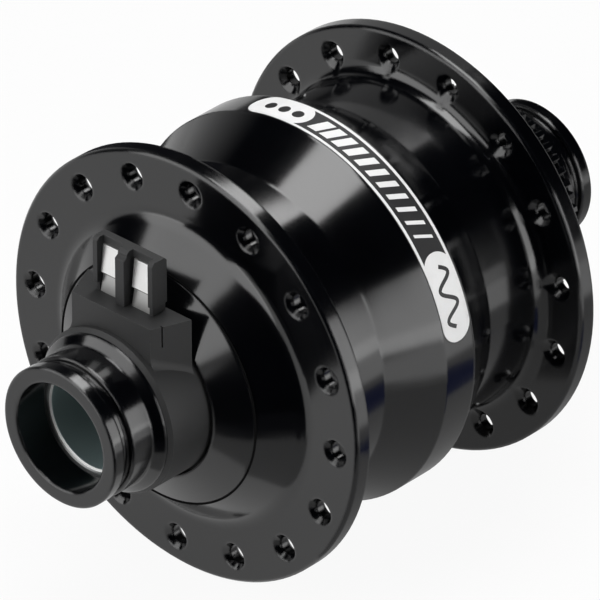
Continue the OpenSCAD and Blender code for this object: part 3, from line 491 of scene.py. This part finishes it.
# Connector: a moulded ring on the axle with the block and tower of the terminals, in dark grey glass-filled
# plastic. The mould leaves a fine matt grain. Corners are rubbed paler, and the tower's are rounded a little.
tower_corner = 0.00022
plastic_deep, plastic_pale = (0.0155, 0.0158, 0.0162, 1), (0.0255, 0.0257, 0.0262, 1)
rubbed_plastic = (0.055, 0.056, 0.057, 1)
plastic, tree = new_material("grey_plastic_finish")
fine = shader_node(tree, "TexNoise", {"Vector": on_piece(tree), "Scale": 5200.0, "Detail": 3.0,
                                      "Roughness": 0.6}).outputs["Fac"]
smear = group_node(tree, handling, Scale=150.0)
worn = group_node(tree, rubbing, Width=0.00018, Break=2200.0)
tone = maths(tree, "ADD", maths(tree, "MULTIPLY", smear, 0.5), maths(tree, "MULTIPLY", fine, 0.5))
skin = blend(tree, worn, blend(tree, tone, plastic_deep, plastic_pale), rubbed_plastic)
give_surface(tree, "BsdfPrincipled", {"Base Color": skin, "Roughness": spread(tree, tone, 0.46, 0.62),
                                      "Normal": relief(tree, fine, 0.12, 0.00005)})
finish_nodes(["connector_body", "terminal_tower"], plastic)

tower = frame["nodes"]["terminal_tower"]
weld = tower.modifiers.new("join_faces", "WELD")
weld.merge_threshold = 1e-7
flat = tower.modifiers.new("whole_faces", "DECIMATE")
flat.decimate_type = "DISSOLVE"
flat.angle_limit = math.radians(0.5)
round_off = tower.modifiers.new("soft_corners", "BEVEL")
round_off.width = tower_corner
round_off.segments = 3
round_off.limit_method = "ANGLE"
round_off.angle_limit = math.radians(40)
round_off.harden_normals = True

# Contacts: two blades stamped and folded from nickel-plated sprung brass, behind the tower's windows with
# their feet in the block. Below the fold the blade is painted darker, more so further down, as shade under
# the upper blade, and a dark line along the fold is painted shade. Rolling lines run up the strip.
fold_z, fold_half = 0.019, 0.00005
under_fold_shade_depth = 0.003
fold_shade_start, fold_shade_end = 0.00006, 0.00016
worn_plate, bright_plate = (0.93, 0.93, 0.92, 1), (0.98, 0.98, 0.97, 1)
# Greys of the painted shade below the fold and of the painted shade line in the fold.
under_fold_shade_grey = (0.30, 0.30, 0.295, 1)
fold_shade_grey = grey(0.05)
contact, tree = new_material("contact_finish")
height = axes(tree)["Z"]
spot = shader_node(tree, "Mapping", {"Vector": on_piece(tree), "Scale": (9000.0, 9000.0, 350.0)}).outputs[0]
rolled = shader_node(tree, "TexNoise", {"Vector": spot, "Scale": 1.0, "Detail": 2.0}).outputs["Fac"]
smear = group_node(tree, handling, Scale=500.0)
# Painted shade below the fold, darker further down.
under_fold_shade = spread(tree, height, 1.0, 0.7, fold_z - under_fold_shade_depth, fold_z)
under_fold_shade = maths(tree, "MULTIPLY", under_fold_shade, maths(tree, "LESS_THAN", height, fold_z - fold_half))
off_fold = maths(tree, "ABSOLUTE", maths(tree, "SUBTRACT", height, fold_z))
# Painted shade line along the fold.
fold_shade = spread(tree, off_fold, 1.0, 0.0, fold_shade_start, fold_shade_end)
plate = blend(tree, under_fold_shade, blend(tree, smear, worn_plate, bright_plate), under_fold_shade_grey)
gloss = maths(tree, "ADD", 0.24, maths(tree, "MULTIPLY", rolled, 0.2))
give_surface(tree, "BsdfPrincipled", {"Base Color": blend(tree, fold_shade, plate, fold_shade_grey), "Metallic": 1.0,
                                      "Roughness": gloss, "Normal": relief(tree, rolled, 0.1, 0.00003)})
finish_nodes(["live_contact", "ground_contact"], contact)

# Seals and rings: moulded black rubber, dull, with a bloom of fine powder in places. The rings sit in grooves
# inside the caps and grip the axle; the seals sit in the bearings and in the mouth of the side cover.
rubber_black, rubber_bloom = (0.010, 0.010, 0.011, 1), (0.024, 0.024, 0.025, 1)
rubber, tree = new_material("rubber_finish")
fine = shader_node(tree, "TexNoise", {"Vector": on_piece(tree), "Scale": 4200.0, "Detail": 4.0})
bloom = group_node(tree, handling, Scale=300.0)
give_surface(tree, "BsdfPrincipled", {"Base Color": blend(tree, bloom, rubber_black, rubber_bloom),
                                      "Roughness": spread(tree, bloom, 0.55, 0.78),
                                      "Normal": relief(tree, fine.outputs["Fac"], 0.2, 0.00005)})
finish_nodes(["dynamo_cap_o_ring", "disc_cap_o_ring", "cover_dust_seal", "near_outer_seal", "near_inner_seal",
              "far_outer_seal", "far_inner_seal"], rubber)


# Metal inside: races, balls, cages, spacers, magnets and the iron of the stator. Spacers, stator and inner
# races slide on to the axle, and the outer races and the ring of magnets sit in the shell and its cover. Each
# is a plain metal with lathe or grinding lines round the axle and a film of grease.
def metal_finish(name, dull, clean, gloss_from, gloss_to, fineness):
    metal, tree = new_material(name)
    lines = group_node(tree, turning, Fineness=fineness)
    film = group_node(tree, handling, Scale=200.0)
    give_surface(tree, "BsdfPrincipled", {"Base Color": blend(tree, film, dull, clean), "Metallic": 1.0,
                                          "Roughness": spread(tree, lines, gloss_from, gloss_to),
                                          "Normal": relief(tree, lines, 0.15, 0.00004)})
    return metal


steel = metal_finish("bearing_steel_finish", (0.50, 0.50, 0.51, 1), (0.66, 0.66, 0.67, 1), 0.08, 0.20, 9000.0)
iron = metal_finish("iron_finish", (0.26, 0.26, 0.27, 1), (0.42, 0.42, 0.43, 1), 0.30, 0.50, 5000.0)
spacer = metal_finish("spacer_finish", (0.52, 0.53, 0.55, 1), (0.68, 0.69, 0.70, 1), 0.22, 0.40, 6000.0)
brass = metal_finish("cage_brass_finish", (0.46, 0.31, 0.11, 1), (0.62, 0.44, 0.18, 1), 0.25, 0.42, 5000.0)
magnet = metal_finish("magnet_finish", grey(0.30), (0.46, 0.46, 0.45, 1), 0.28, 0.44, 3000.0)
finish_nodes(["near_inner_race", "near_outer_race", "far_inner_race", "far_outer_race", "near_balls",
              "far_balls"], steel)
finish_nodes(["stator_core", "left_claw_plate", "right_claw_plate", "flux_ring"], iron)
finish_nodes(["connector_spacer", "stator_spacer"], spacer)
finish_nodes(["near_cage", "far_cage"], brass)
finish_nodes(["magnets"], magnet)

# Winding, bobbin and leads: enamelled copper wire laid in turns on a pale nylon bobbin, and two insulated
# leads that run from it through the axle's groove to the contacts.
# The bands across the turns are painted light and shade: darker in the grooves between turns, brighter on
# their crowns.
wire_shade, wire_crown_highlight = (0.18, 0.055, 0.014, 1), (0.52, 0.19, 0.06, 1)
wire, tree = new_material("copper_wire_finish")
turns = shader_node(tree, "TexWave", {"Vector": on_piece(tree), "Scale": 700.0, "Distortion": 0.6,
                                      "Detail": 2.0, "Detail Scale": 0.4},
                    wave_type="BANDS", bands_direction="Y", wave_profile="SIN").outputs["Fac"]
give_surface(tree, "BsdfPrincipled", {"Base Color": blend(tree, turns, wire_shade, wire_crown_highlight),
                                      "Metallic": 0.7, "Roughness": spread(tree, turns, 0.4, 0.22),
                                      "Normal": relief(tree, turns, 0.8, 0.0002)})
finish_nodes(["coil_winding"], wire)


def moulded_finish(name, deep, pale):
    moulded, tree = new_material(name)
    fine = shader_node(tree, "TexNoise", {"Vector": on_piece(tree), "Scale": 3000.0, "Detail": 3.0})
    cloud = group_node(tree, handling, Scale=180.0)
    give_surface(tree, "BsdfPrincipled", {"Base Color": blend(tree, cloud, deep, pale),
                                          "Roughness": spread(tree, fine.outputs["Fac"], 0.35, 0.55),
                                          "Normal": relief(tree, fine.outputs["Fac"], 0.1, 0.00005)})
    return moulded


finish_nodes(["coil_bobbin"],
             moulded_finish("bobbin_nylon_finish", (0.56, 0.51, 0.40, 1), (0.68, 0.64, 0.53, 1)))
finish_nodes(["live_lead"],
             moulded_finish("red_insulation_finish", (0.30, 0.018, 0.016, 1), (0.42, 0.03, 0.026, 1)))
finish_nodes(["ground_lead"],
             moulded_finish("black_insulation_finish", (0.012, 0.012, 0.013, 1), (0.024, 0.024, 0.026, 1)))
